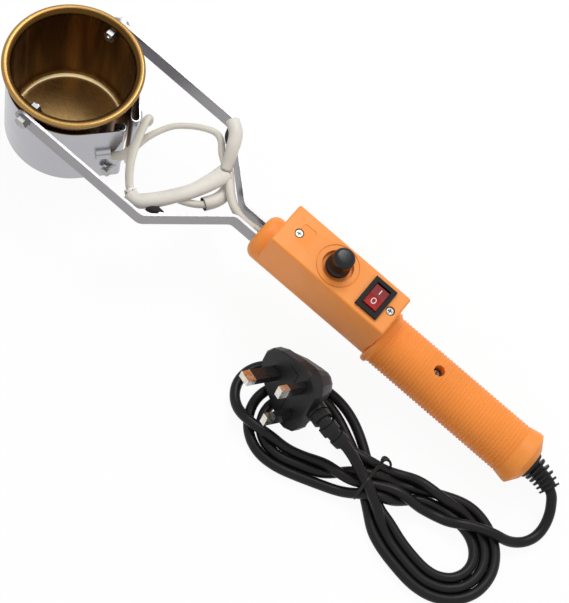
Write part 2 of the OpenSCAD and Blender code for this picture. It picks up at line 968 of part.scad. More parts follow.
// outline of one lobe of the hank: two circles and their common tangents
module lobe(c1, r1, c2, r2) {
  hull() {
    translate(c1)
      circle(r = r1, $fn = 48);
    translate(c2)
      circle(r = r2, $fn = 32);
  }
}

hank_w = 2 * lead_d + 0.4;
hank_l = [199.8, -61.5];
hank_c = [222, -65.2];
hank_m = [275, -66];
hank_r = [334, -68];
loop_l = 22.2;
loop_c = 28.4;
loop_r = 28.6;

module lead_hank() {
  color([0.08, 0.08, 0.08])
    difference() {
      union() {
        linear_extrude(height = lead_d)
          difference() {
            hull() {
              lobe(hank_l, loop_l, hank_c, loop_c);
              lobe(hank_c, loop_c, hank_m, 13.4);
            }
            // gap between the two loops, then the middle
            difference() {
              translate(hank_l)
                circle(r = loop_l - lead_d - 0.2, $fn = 48);
              translate(hank_c)
                circle(r = loop_c, $fn = 48);
            }
            lobe(hank_c + [1.5, 0], loop_c - hank_w, [262, -65.5], 3.5);
          }
        linear_extrude(height = 2 * lead_d)
          difference() {
            union() {
              lobe(hank_r, loop_r, hank_m, 13.4);
              lobe([263, -65.4], 13.4, hank_m, 13.4);
            }
            lobe(hank_r, loop_r - hank_w, [292, -66.6], 3);
          }
      }
      // seat of the tie
      translate([hank_m.x - 1.8, -100, -1])
        cube([3.6, 80, 2]);
            for (s = [-1, 1])
        translate([hank_m.x - 1.8, hank_m.y + s * 22.2 - 10, -1])
          cube([3.6, 20, 40]);
    }
}

// plug: stands on its side on the loops, its pins towards the near side -------

plug_z = 26.9;
plug_at = [209.6, -60.2, plug_z];
plug_turn = [66.7, -15.8, -23.8];
slab_t = 6.6;
back_k = 0.62;
pin_x = [-14, 8.2];

module plug_frame() {
  translate(plug_at)
    rotate(plug_turn)
      children();
}

// shield outline of the plug's face: wide by the lead, narrow at the earth pin
module plug_outline(k) {
  l = plug_l / 46;
  w = plug_w / 45;
  polygon([for (p = [[18, 12.5], [15, 18.5], [9.5, 22], [5, 22.5], [-4, 19.6], [-18, 14],
    [-25, 9], [-28, 3.5], [-28, -3.5], [-25, -9], [-18, -14], [-4, -19.6], [5, -22.5],
    [9.5, -22], [15, -18.5], [18, -12.5]]) [p.x * l * k, p.y * w * k]]);
}

module slab(z, k) {
  translate([0, 0, z])
    linear_extrude(height = 0.1)
      plug_outline(k);
}

tail_out = 18 * plug_l / 46;
tail_z = -9;

module plug_body() {
  color([0.1, 0.1, 0.1])
    plug_frame()
      difference() {
        union() {
          hull() {
            slab(-0.1, 0.96);
            slab(-1.4, 1);
            slab(-slab_t, 1);
          }
          hull() {
            slab(-slab_t - 0.05, 0.97);
            slab(-plug_h + 3, back_k + 0.08);
            slab(-plug_h, back_k - 0.02);
          }
          translate([2, 0, tail_z])
            rotate([0, 90, 0])
              cylinder(r = 6.2, h = tail_out);
        }
        translate([-3, 0, -1.5])
          cube([8, 27, 6.1], center = true);
        translate([-3, 0, -5.4])
          cube([6.6, 25.8, 7], center = true);
        pins(0.1, 6.6);
      }
}

// the three pins: earth at the narrow end, live and neutral by the lead
module pins(gap, root) {
  translate([pin_x[0] - 4 - gap / 2, -2 - gap / 2, -root])
    cube([8 + gap, 4 + gap, root + 22.7]);
  for (y = [-11.1, 11.1])
    translate([pin_x[1] - 2 - gap / 2, y - 3.2 - gap / 2, -root])
      cube([4 + gap, 6.4 + gap, root + 17.7]);
}

module plug_pins() {
  color([0.8, 0.66, 0.35])
    plug_frame()
      pins(0, 6);
}

module fuse_carrier() {
  color([0.12, 0.12, 0.12])
    plug_frame()
      translate([-3, 0, -0.6])
        cube([7.9, 26.9, 1.9], center = true);
}

module fuse() {
  color([0.85, 0.83, 0.78])
    plug_frame()
      translate([-3, 12.7, -5.2])
        rotate([90, 0, 0])
          cylinder(d = 6.3, h = 25.4);
}

function turn_x(v, a) = [v.x, v.y * cos(a) - v.z * sin(a), v.y * sin(a) + v.z * cos(a)];
function turn_y(v, a) = [v.x * cos(a) + v.z * sin(a), v.y, v.z * cos(a) - v.x * sin(a)];
function turn_z(v, a) = [v.x * cos(a) - v.y * sin(a), v.x * sin(a) + v.y * cos(a), v.z];
function on_plug(v) = plug_at
  + turn_z(turn_y(turn_x(v, plug_turn.x), plug_turn.y), plug_turn.z);

// the plug's ribbed sleeve bends down to the tie
tail_pts = [on_plug([tail_out + 2.05, 0, tail_z]), on_plug([tail_out + 8, 0, tail_z]),
  [244.6, -64, 27.6], [252, -63.8, 24.6]];
tail_path = smooth(tail_pts, 4);

module plug_sleeve() {
  h = heading(tail_path);
  color([0.08, 0.08, 0.08])
    union() {
      tube(tail_path, lead_d / 2 + 1.1, lead_d / 2 + 1.1, 12);
      for (i = [1, 5, 9])
        tube([tail_path[i], tail_path[i + 1], tail_path[i + 2], tail_path[i + 2] + 0.6 * h[i + 2]],
          6.1 - 0.12 * i, 6.1 - 0.12 * i, 12);
    }
}

tail_run = [tail_path[len(tail_path) - 1] + 0.05 * unit([7.4, 0.2, -3]), [258, -64, 21.3],
  [264, -64.6, 17.6], [269, -65.2, 15.9], [276, -66, 15.6], [283, -67, 15.6]];

module lead_tail() {
  color([0.07, 0.07, 0.07])
    tube(smooth(tail_run, 3), lead_d / 2, lead_d / 2, 12);
}

module lead_tie() {
  color([0.05, 0.05, 0.05])
    translate([hank_m.x - 1.6, hank_m.y, 0.1])
      union() {
        difference() {
          translate([0, -13.2, 0])
            cube([3.2, 26.4, 2 * lead_d + 8.1]);
          translate([-1, -12.3, 0.9])
            cube([8, 24.6, 2 * lead_d + 6.3]);
        }
        translate([0.6, 12, 2 * lead_d + 6])
          cube([2, 6, 1]);
      }
}

// heater leads --------------------------------------------------------------

sleeve_r = sleeve_d / 2;
splice_r = splice_d / 2;

// where the sleeves leave the lugs' outlet hoods
function hood_out(side, s) = let (p = to_plan(side, [9.5 + s, 2.4])) [p.x, p.y, lead_out];

near_pts = [hood_out(-1, 1.9), hood_out(-1, 8), [49, -10.5, 36], [53.4, 3.2, 43],
  [60.5, 15.5, 48], [68.9, 22.7, 50], [77.5, 27.2, 51.3], [84.4, 28.6, 52], [89.5, 26.2, 51.8],
  [94.0, 21.5, 50], [99.5, 17.5, 48.6]];
far_pts = [hood_out(1, 1.9), hood_out(1, 7.5), [50.0, 13.0, 42], [50.3, 13.2, 50], [48.6, 10.2, 54.5],
  [49.3, 4.5, 54.6], [51.6, -3.9, 52], [55.4, -12.4, 49], [60.5, -21.2, 47], [66.3, -28.3, 46],
  [69.8, -31.0, 45.8]];
joint_pts = [[90.5, -17.5, 45.3], [97, -14.4, 44.0], [103.2, -9.8, 42.6], [108.3, -3.4, 41]];
inlet_pts = [[101.8, 17.6, 47.6], [105.6, 14.4, 47.3], [109.4, 10.1, 46.6], [113.6, 5.8, 45.8],
  [119.2, 1.8, 45], [126, -0.8, 44.2], [133.4, -1.2, 43.2], world([box_x - nose_l - 2, 0, 0]),
  world([box_x - 0.6, 0, 0])];
fat_near = [[71.3, -32.0, 45.4], [76.5, -33.0, 46], [83.9, -25.6, 46.4], [90.5, -16.3, 46.8],
  [96.4, -6.4, 47], [100.5, 4.5, 47.4], [102.6, 13.6, 47.8]];
fat_far = [[89.0, 36.6, 60.2], [94.5, 31.6, 60.2], [98.2, 24.6, 57.2], [101.0, 18.4, 52.4]];
fat_open = [[106.9, -6.8, 41], [109.4, 2.5, 40.3], [108.4, 11.2, 39]];

module sleeve_near() {
  color([0.9, 0.88, 0.82])
    tube(smooth(near_pts, 3), sleeve_r * 0.8, sleeve_r * 0.9, 8);
}

module sleeve_far() {
  color([0.9, 0.88, 0.82])
    tube(smooth(far_pts, 3), sleeve_r * 0.95, sleeve_r * 0.95, 8);
}

module sleeve_handle() {
  color([0.88, 0.86, 0.8])
    tube(smooth(inlet_pts, 3), 2.3, 2.3, 8);
}

module sleeve_joint() {
  color([0.9, 0.88, 0.82])
    tube(smooth(joint_pts, 3), 2.2, 2.2, 8);
}

module splice_near() {
  color([0.88, 0.87, 0.84])
    tube(smooth(fat_near, 3), splice_r, splice_r, 10);
}

module splice_far() {
  color([0.88, 0.87, 0.84])
    tube(smooth(fat_far, 3), splice_r, splice_r, 10);
}

module splice_open() {
  color([0.86, 0.85, 0.82])
    difference() {
      tube(smooth(fat_open, 3), splice_r, splice_r, 10);
      tube(smooth([fat_open[0] - 3 * unit(fat_open[1] - fat_open[0]), fat_open[0], fat_open[1]
        - 1.2 * unit(fat_open[1] - fat_open[0])], 2), splice_r - 1.3, splice_r - 1.3, 10);
    }
}

module sleeve_ties() {
  color([0.92, 0.9, 0.86])
    for (t = [[fat_near[0], fat_near[1] - fat_near[0], 0.2], [fat_near[6], fat_near[6] - fat_near[5], -2.6]])
      translate(t[0])
        rotate([0, acos(unit(t[1]).z), atan2(t[1].y, t[1].x)])
          translate([0, 0, t[2]])
            rotate_extrude(angle = 360)
              translate([splice_r + 0.12, 0])
                square([0.9, 2.4]);
}

crucible();
heater_band();
heater_sheath();
clamp_screw();
clamp_nut();
arm_near();
arm_far();
pot_bolts();
pot_spacers();
pot_nuts();
arm_block();
arm_screws();
handle_top();
handle_base();
case_screws();
grip_screw();
dial_knob();
dial_shaft();
dial_control();
dial_nut();
switch_body();
switch_rocker();
control_board();
triac();
heat_sink();
terminal_block();
lead_clamp();
clamp_screws();
inner_lead();
strain_relief();
mains_lead();
lead_hank();
lead_tail();
lead_tie();
plug_body();
plug_pins();
plug_sleeve();
fuse_carrier();
fuse();
sleeve_near();
sleeve_far();
sleeve_handle();
sleeve_joint();
splice_near();
splice_far();
splice_open();
sleeve_ties();
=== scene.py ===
import json
import math

import bmesh
import bpy
import numpy as np
from mathutils import Matrix, Vector
from mathutils.bvhtree import BVHTree


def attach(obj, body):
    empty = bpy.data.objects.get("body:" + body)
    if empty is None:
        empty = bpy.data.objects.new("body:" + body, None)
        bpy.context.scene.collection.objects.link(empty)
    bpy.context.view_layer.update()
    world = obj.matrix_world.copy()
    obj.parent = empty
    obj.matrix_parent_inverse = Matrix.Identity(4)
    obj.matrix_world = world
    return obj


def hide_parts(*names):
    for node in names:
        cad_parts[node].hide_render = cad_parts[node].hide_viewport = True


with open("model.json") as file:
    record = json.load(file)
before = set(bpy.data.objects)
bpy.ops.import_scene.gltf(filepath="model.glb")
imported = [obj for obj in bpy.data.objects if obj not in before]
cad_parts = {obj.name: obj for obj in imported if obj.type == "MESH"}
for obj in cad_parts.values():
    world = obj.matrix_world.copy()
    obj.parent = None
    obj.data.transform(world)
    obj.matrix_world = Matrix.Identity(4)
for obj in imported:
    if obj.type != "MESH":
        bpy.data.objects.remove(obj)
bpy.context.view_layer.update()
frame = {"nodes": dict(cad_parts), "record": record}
MM = 0.001
BODY = "pot_and_handle"
CORD_D = 6.2

# ---------------------------------------------------------------- camera
cam_data = bpy.data.cameras.new("camera")
camera = bpy.data.objects.new("camera", cam_data)
bpy.context.scene.collection.objects.link(camera)
bpy.context.scene.camera = camera
cam_data.sensor_width = 36
cam_data.lens = 1600 * 36 / 603
cam_data.clip_start, cam_data.clip_end = 0.05, 20
right, down, ahead = (
    Vector(v).normalized()
    for v in (
        (0.78542, 0.59563, 0.16835),
        (0.60737, -0.68928, -0.39495),
        (-0.11921, 0.41245, -0.90314),
    )
)
place = Matrix((right, -down, -ahead)).transposed().to_4x4()
place.translation = Vector((284.51, -397.06, 856.7)) * MM
camera.matrix_world = place

# ------------------------------------------------------- tool and plug frames
BOX_X, BOX_L, BOX_H, GRIP_L, BOLT_Z = 149.5, 81.5, 32.4, 110, 59.5
FLANGE_R = 17.5
REST_X = BOX_X + BOX_L + GRIP_L - 1.2
SLOPE = math.asin(BOLT_Z / math.hypot(REST_X, FLANGE_R)) - math.atan2(FLANGE_R, REST_X)


def tool(x, y, z):
    """Point of the sloped tool, in mm from the box's front, to mm in the row frame."""
    x += BOX_X
    return Vector(
        (
            x * math.cos(SLOPE) + z * math.sin(SLOPE),
            y,
            BOLT_Z - x * math.sin(SLOPE) + z * math.cos(SLOPE),
        )
    )


UP = (tool(0, 0, 1) - tool(0, 0, 0)).normalized()
ALONG = (tool(1, 0, 0) - tool(0, 0, 0)).normalized()
PLUG_AT = Vector((209.6, -60.2, 26.9))
PLUG_TURN = [math.radians(a) for a in (66.7, -15.8, -23.8)]
PLUG_ROT = (
    Matrix.Rotation(PLUG_TURN[2], 3, "Z")
    @ Matrix.Rotation(PLUG_TURN[1], 3, "Y")
    @ Matrix.Rotation(PLUG_TURN[0], 3, "X")
)


def on_plug(x, y, z):
    return PLUG_AT + PLUG_ROT @ Vector((x, y, z))


# ---------------------------------------------------------------- curves
def even(points, step):
    """Catmull-Rom curve through points, as evenly spaced rows of an array."""
    p = np.array([tuple(v) for v in points], float)
    q = np.vstack([2 * p[0] - p[1], p, 2 * p[-1] - p[-2]])
    out = []
    for i in range(1, len(q) - 2):
        a, b, c, d = q[i - 1 : i + 3]
        n = max(2, int(np.linalg.norm(c - b) / (step / 3)))
        for t in np.arange(n) / n:
            out.append(
                0.5
                * (
                    2 * b
                    + (c - a) * t
                    + (2 * a - 5 * b + 4 * c - d) * t * t
                    + (3 * b - a - 3 * c + d) * t**3
                )
            )
    out.append(p[-1])
    out = np.array(out)
    run = np.r_[0, np.cumsum(np.linalg.norm(np.diff(out, axis=0), axis=1))]
    at = np.linspace(0, run[-1], int(run[-1] / step) + 1)
    return np.stack([np.interp(at, run, out[:, k]) for k in range(3)], 1)


def arc(centre, r, a0, a1, n, z):
    """Points on a flat arc, angles in degrees."""
    return [
        (centre[0] + r * math.cos(a), centre[1] + r * math.sin(a), z)
        for a in np.radians(np.linspace(a0, a1, n))
    ]


BEND_R, BEND_SPAN = 28, 8
SMOOTH, UNBEND, PUSH_APART = 0.05, 0.3, 0.35
SINK, LAST_SINK, LAST_STEPS = 0.08, 0.01, 80


def settle(start, steps, step, hold_first, hold_last, hug):
    """Lets a cord's points lie down: they bend evenly, rest on the floor and on each other."""
    p = start.copy()
    index = np.arange(len(p))
    apart = np.abs(index[:, None] - index) > int(3 * CORD_D / step)
    k = round(BEND_SPAN / step)
    flat = (k * step) ** 2 / (2 * BEND_R)
    for turn in range(steps):
        move = np.zeros_like(p)
        move[2:-2] -= SMOOTH * (p[:-4] - 4 * p[1:-3] + 6 * p[2:-2] - 4 * p[3:-1] + p[4:])
        bow = (p[: -2 * k] + p[2 * k :]) / 2 - p[k:-k]
        size = np.linalg.norm(bow, axis=1)[:, None] + 1e-9
        excess = UNBEND * bow * np.maximum(0, 1 - flat / size)
        move[k:-k] += excess
        move[: -2 * k] -= excess / 2
        move[2 * k :] -= excess / 2
        move[:, :2] += hug * (start - p)[:, :2]
        move[:, 2] -= SINK if turn < steps - LAST_STEPS else LAST_SINK
        gap = p[:, None] - p
        far = np.sqrt((gap**2).sum(-1)) + 1e-9
        push = np.where(apart & (far < CORD_D), CORD_D - far, 0)
        move += PUSH_APART * (gap / far[..., None] * push[..., None]).sum(1)
        move[:hold_first] = 0
        move[-hold_last:] = 0
        p += np.clip(move, -1, 1)
        p[:, 2] = np.maximum(p[:, 2], CORD_D / 2 + 0.03)
    return p


# ---------------------------------------------------------------- mains cord
LOOP_R, LOOP_A, LOOP_C, LOOP_B = (334, -67.6), (199.8, -61.5), (221, -66.8), (222.5, -66.8)
FLOOR = CORD_D / 2 + 0.05
cord_route = [
    # out of the strain relief, down to the floor, over the right turns to the tie
    (359.8, -4.0, 14.5), (366, -8.6, 14), (370.4, -15, 11.5), (371.8, -22.6, 8.4),
    (370, -30.4, 7.2), (365, -37, 8), (357, -42, 11), (347, -45.5, 14.8),
    (336, -48.6, 15.4), (322, -52.5, 14.6),
    (308, -56.6, 12.8), (296, -60.4, 11.8), (286, -64.4, 10.6), (275, -69.2, 10.2),
    # first left turn
    (267, -71.2, 11.6), (259, -73, 12.6), (250, -75, 11.6),
    (238, -77.8, 9.8), (222, -81, 9.6), (208, -82, 8),
    *arc(LOOP_A, 19.6, -100, -260, 7, FLOOR)[1:],
    (212, -38.2, FLOOR), (226, -35.8, FLOOR), (240, -37.5, FLOOR), (252, -43, FLOOR),
    (263, -51, FLOOR), (275, -60.9, FLOOR),
    # inner right turn
    (288, -71.5, FLOOR), (302, -81, FLOOR),
    *arc(LOOP_R, 20, -105, 105, 9, FLOOR),
    (314, -51.5, FLOOR), (304, -56, FLOOR), (296, -62, 4), (288, -68.4, 7.6),
    # second left turn
    (278, -74.6, 9.6), (268, -79, 8), (257, -83, 4.6), (246, -86.6, FLOOR),
    *arc(LOOP_C, 25.2, -65, -250, 8, FLOOR)[:-1],
    (222, -41.6, FLOOR), (236, -43.7, FLOOR), (248, -49.6, FLOOR), (260, -58.4, FLOOR),
    (275, -67.3, FLOOR),
    # outer right turn
    (288, -79.6, FLOOR), (304, -89.6, FLOOR),
    *arc(LOOP_R, 26.2, -105, 105, 9, FLOOR),
    (312, -44.6, FLOOR), (298, -48.6, 3.6), (287, -54.4, 7), (277, -61, 9.4),
    # third left turn
    (266, -67.8, 8), (256, -73.4, 4.8), (246, -78.4, FLOOR),
    *arc(LOOP_B, 19.2, -60, -300, 9, FLOOR)[:-1], (232, -50.4, 4.4),
    (244, -54.4, 7.8), (258, -56.7, 9.6), (275, -56.6, 9.4),
    # upper right turn, then over the tie into the plug's sleeve
    (288, -51.8, 9.8), (302, -47.4, 9.8),
    *arc(LOOP_R, 22.9, 110, -110, 9, 9.0),
    (314, -86.5, 9.2), (301, -80.6, 11.5), (288, -74.6, 15), (276, -70, 16.6),
    (269, -67, 17.2), (264, -65.4, 18.6), (258, -64.3, 21.6), (252, -63.8, 25.0),
]
COARSE, FINE = 5.0, 3.2
cord_points = settle(even(cord_route, COARSE), 300, COARSE, 2, 3, 0.03)
cord_points = settle(even(cord_points, FINE), 320, FINE, 2, 4, 0.02)


def curve_object(name, points, r):
    """Round cord as a smooth curve of one open spline; points and r in mm."""
    data = bpy.data.curves.new(name, "CURVE")
    data.dimensions = "3D"
    data.bevel_depth = 1.0
    data.bevel_resolution = 4
    data.resolution_u = 3
    data.use_fill_caps = True
    spline = data.splines.new("NURBS")
    spline.points.add(len(points) - 1)
    for p, c in zip(spline.points, points):
        p.co = (*(Vector(c) * MM), 1)
        p.radius = r * MM
    spline.order_u = 4
    spline.use_endpoint_u = True
    obj = bpy.data.objects.new(name, data)
    bpy.context.scene.collection.objects.link(obj)
    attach(obj, BODY)
    return obj


cord = curve_object("mains_cord", cord_points, CORD_D / 2)
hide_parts("mains_lead", "lead_hank", "lead_tail")


# ---------------------------------------------------------------- materials
class Shader:
    """Small builder of one procedural material."""

    def __init__(self, name):
        self.mat = bpy.data.materials.new(name)
        self.mat.use_nodes = True
        self.tree = self.mat.node_tree
        self.nodes = self.tree.nodes
        self.bsdf = self.nodes["Principled BSDF"]
        self.coord = self.nodes.new("ShaderNodeTexCoord")

    def add(self, kind, inputs=(), **props):
        n = self.nodes.new("ShaderNode" + kind)
        for k, v in props.items():
            setattr(n, k, v)
        for k, v in dict(inputs).items():
            self.put(n.inputs[k], v)
        return n

    def put(self, socket, v):
        if isinstance(v, bpy.types.NodeSocket):
            self.tree.links.new(v, socket)
        elif isinstance(v, tuple) and socket.type == "RGBA":
            socket.default_value = (*v[:3], 1)
        else:
            socket.default_value = v

    def space(self, turn=(0, 0, 0), scale=(1, 1, 1)):
        where = {"Vector": self.coord.outputs["Object"], "Rotation": turn, "Scale": scale}
        return self.add("Mapping", where).outputs[0]

    def noise(self, vector, scale, detail=3.0, rough=0.55):
        return self.add(
            "TexNoise", {"Vector": vector, "Scale": scale, "Detail": detail, "Roughness": rough}
        ).outputs["Fac"]

    def range(self, value, lo, hi, a=0.3, b=0.7):
        return self.add(
            "MapRange",
            {"Value": value, "From Min": a, "From Max": b, "To Min": lo, "To Max": hi},
        ).outputs[0]

    def math(self, op, a, b=0.0):
        return self.add("Math", {0: a, 1: b}, operation=op).outputs[0]

    def mix(self, fac, a, b):
        n = self.add("Mix", {0: fac}, data_type="RGBA")
        self.put(n.inputs[6], a)
        self.put(n.inputs[7], b)
        return n.outputs[2]

    def bump(self, height, strength, distance, normal=None):
        n = self.add("Bump", {"Height": height, "Strength": strength, "Distance": distance})
        if normal is not None:
            self.put(n.inputs["Normal"], normal)
        return n.outputs[0]

    def dot(self, vector, axis):
        """How far a point lies along an axis."""
        return self.add(
            "VectorMath", {0: vector, 1: tuple(axis)}, operation="DOT_PRODUCT"
        ).outputs["Value"]

    def straight_rays(self):
        """1 for rays that show the background: seen directly, mirrored or through glass."""
        rays = self.add("LightPath").outputs
        mirrored = self.math("MAXIMUM", rays["Is Glossy Ray"], rays["Is Transmission Ray"])
        return self.math("MAXIMUM", rays["Is Camera Ray"], mirrored)

    def finish(self, **sockets):
        for k, v in sockets.items():
            self.put(self.bsdf.inputs[k.replace("_", " ")], v)
        return self.mat


TOOL_TURN = (0, -SLOPE, 0)
LEVEL = (0, 0, 0)


def moulded(name, colour, rough, vary=0.12, grain=1400, strength=0.25, edge_highlight=0.0, **more):
    """Moulded plastic or rubber: fine grain, faint flow marks, slightly uneven gloss, and
    optionally a painted highlight that makes sharp edges paler.
    """
    s = Shader(name)
    at = s.space()
    broad = s.noise(at, 28)
    fine = s.noise(at, grain, 2)
    dark = tuple(c * (1 - vary) for c in colour)
    pale = tuple(min(1, c * (1 + vary * 0.5)) for c in colour)
    base = s.mix(s.range(broad, 0, 1), dark, pale)
    # painted highlight: sharp convex edges are mixed towards a paler colour
    if edge_highlight:
        geo = s.add("NewGeometry").outputs["Pointiness"]
        highlight_colour = tuple(min(1, c + 0.35) for c in colour)
        base = s.mix(s.range(geo, 0, edge_highlight, 0.52, 0.6), base, highlight_colour)
    gloss = s.range(s.noise(at, 90, 3), rough - 0.06, rough + 0.08)
    return s.finish(
        Base_Color=base, Roughness=gloss, Normal=s.bump(fine, strength, 0.00012), **more
    )


def metal(name, colour, rough, stretch, turn=TOOL_TURN, vary=0.1, strength=0.12):
    """Rolled, drawn or plated metal with fine lines along one direction."""
    s = Shader(name)
    lines = s.noise(s.space(turn, stretch), 1.0, 4, 0.6)
    cloud = s.noise(s.space(), 45, 3)
    base = s.mix(s.range(cloud, 0, 1), tuple(c * (1 - vary) for c in colour), colour)
    gloss = s.math("ADD", s.range(lines, rough - 0.05, rough + 0.07), s.range(cloud, 0, 0.06))
    return s.finish(
        Base_Color=base,
        Metallic=1.0,
        Roughness=gloss,
        Normal=s.bump(lines, strength, 0.00004),
    )


# heights and radii, in metres, over which the crucible's tones change; the inner corner carries a
# painted highlight, and the top of the rim has painted shade inside a painted highlight
WALL_FROM, RIM_FROM = (0.0035, 0.0075), (0.0645, 0.0662)
HIGHLIGHT_RING_R, HIGHLIGHT_RING_Z = (0.0319, 0.0327), (0.003, 0.0045)
OUTSIDE_R, LIP_SHADE_TO_HIGHLIGHT_R = (0.03585, 0.0360), (0.0377, 0.0385)


def crucible_metal():
    """Gold-toned drawn cup: soft upright streaks in the wall, brushed floor, a pale band of painted
    highlight where the floor meets the wall, and a rim with painted shade on its inner part and a
    painted highlight at its outer edge.
    """
    s = Shader("drawn_gold")
    at = s.space()
    apart = s.add("SeparateXYZ", {"Vector": at})
    x, y, z = (apart.outputs[k] for k in "XYZ")
    angle = s.math("ARCTAN2", y, x)
    radius = s.math("SQRT", s.math("ADD", s.math("MULTIPLY", x, x), s.math("MULTIPLY", y, y)))
    around = s.add("CombineXYZ", {"X": angle, "Y": 0.0, "Z": s.math("MULTIPLY", z, 3.0)})
    streak = s.noise(around.outputs[0], 2.6, 2, 0.4)
    fine = s.noise(s.add("CombineXYZ", {"X": angle, "Y": 0.0, "Z": 0.0}).outputs[0], 60, 2)
    wall = s.mix(s.range(streak, 0, 1, 0.38, 0.66), (0.075, 0.034, 0.009), (0.34, 0.19, 0.065))
    brushed = s.noise(s.space((0, 0, 0.5), (260, 900, 20)), 1.0, 4, 0.7)
    ground = s.mix(s.range(brushed, 0, 1), (0.33, 0.20, 0.075), (0.43, 0.28, 0.115))
    is_wall = s.range(z, 0, 1, *WALL_FROM)
    inner = s.mix(is_wall, ground, wall)
    # painted highlight: a pale gold band round the inner corner, where the floor meets the wall
    corner = s.range(radius, 0, 1, *HIGHLIGHT_RING_R)
    corner_highlight = s.math("MULTIPLY", corner, s.range(z, 1, 0, *HIGHLIGHT_RING_Z))
    inner = s.mix(corner_highlight, inner, (0.95, 0.75, 0.42))
    # painted shade on the inner part of the rim, painted highlight on its outer part
    lip_shade_and_highlight = s.mix(s.range(radius, 0, 1, *LIP_SHADE_TO_HIGHLIGHT_R), (0.085, 0.042, 0.011), (0.34, 0.20, 0.066))
    outside = s.range(radius, 0, 1, *OUTSIDE_R)
    base = s.mix(outside, inner, (0.30, 0.16, 0.055))
    base = s.mix(s.range(z, 0, 1, *RIM_FROM), base, lip_shade_and_highlight)
    rough = s.math("ADD", s.range(fine, 0.2, 0.34), s.range(brushed, 0, 0.08))
    height = s.math("ADD", s.math("MULTIPLY", fine, is_wall), s.math("MULTIPLY", brushed, 0.6))
    return s.finish(
        Base_Color=base, Metallic=1.0, Roughness=rough, Normal=s.bump(height, 0.15, 0.00005)
    )


BRAID_LEAN = 0.62


def sleeve_cloth(name, colour, rough=0.55, count=22, depth=0.35):
    """Varnished fibreglass tube: faint crossed braid from its own lengthwise map."""
    s = Shader(name)
    uv = s.coord.outputs["UV"]
    waves = []
    for lean in (BRAID_LEAN, -BRAID_LEAN):
        turned = s.add("Mapping", {"Vector": uv, "Rotation": (0, 0, lean)}).outputs[0]
        wave = s.add("TexWave", {"Vector": turned, "Scale": count / 3}, wave_type="BANDS")
        waves.append(wave.outputs["Fac"])
    weave = s.math("MULTIPLY", waves[0], waves[1])
    cloud = s.noise(s.space(), 70, 3)
    base = s.mix(s.range(cloud, 0, 1), tuple(c * 0.84 for c in colour), colour)
    base = s.mix(s.range(weave, 0.10, 0, 0, 0.5), base, tuple(c * 0.6 for c in colour))
    return s.finish(
        Base_Color=base,
        Roughness=s.range(weave, rough + 0.1, rough, 0, 1),
        Normal=s.bump(weave, depth, 0.00018),
        Subsurface_Weight=0.08,
        Subsurface_Radius=(0.001, 0.0008, 0.0006),
    )


PIN_BARE_FROM = 0.0118
EARTH_LONGER = 0.0052
EARTH_SIDE = -0.005


def plug_pin_finish():
    """Plated brass tips on pins with black shanks; the earth pin is longer."""
    s = Shader("sleeved_pin")
    at = s.space()
    ahead, across = PLUG_ROT @ Vector((0, 0, 1)), PLUG_ROT @ Vector((1, 0, 0))
    along, side = s.dot(at, ahead), s.dot(at, across)
    face, middle = PLUG_AT.dot(ahead) * MM, PLUG_AT.dot(across) * MM + EARTH_SIDE
    cloud = s.noise(at, 500, 3)
    is_earth = s.range(side, 1, 0, middle - 0.0001, middle + 0.0001)
    reach = s.math("SUBTRACT", along, s.math("MULTIPLY", is_earth, EARTH_LONGER))
    bare = face + PIN_BARE_FROM
    metal_part = s.range(reach, 0, 1, bare, bare + 0.0001)
    tip = s.mix(s.range(cloud, 0, 1), (0.62, 0.58, 0.5), (0.82, 0.8, 0.74))
    return s.finish(
        Base_Color=s.mix(metal_part, (0.012, 0.012, 0.013), tip),
        Metallic=metal_part,
        Roughness=s.range(cloud, 0.18, 0.32),
    )


def thread_finish():
    """Lacing thread, speckled black and white."""
    s = Shader("speckled_thread")
    at = s.space((0.4, 0.3, 0.6))
    spots = s.add("TexVoronoi", {"Vector": at, "Scale": 900.0}).outputs["Distance"]
    wave = s.add("TexWave", {"Vector": at, "Scale": 220.0}, bands_direction="Z").outputs["Fac"]
    base = s.mix(s.range(spots, 0, 1, 0.25, 0.35), (0.10, 0.09, 0.08), (0.82, 0.8, 0.74))
    return s.finish(Base_Color=base, Roughness=0.8, Normal=s.bump(wave, 0.5, 0.0002))


def rocker_with_lit_half():
    """Clear red moulding, with painted light: the half marked on is paler, as the lit half."""
    s = Shader("rocker_plastic")
    at = s.space()
    # painted light: the half marked on is mixed towards a paler red, as where light falls on it
    half = s.range(s.add("SeparateXYZ", {"Vector": at}).outputs["Y"], 0, 1, -0.0004, 0.0006)
    cloud = s.range(s.noise(at, 260, 3), 0, 1)
    dull = s.mix(cloud, (0.27, 0.008, 0.005), (0.36, 0.012, 0.007))
    return s.finish(
        Base_Color=s.mix(half, dull, (0.26, 0.035, 0.035)),
        Roughness=s.range(cloud, 0.2, 0.3),
        Specular_IOR_Level=0.25,
    )


SCREWS = (10, BOX_L - 5.2, BOX_L + 38.5)


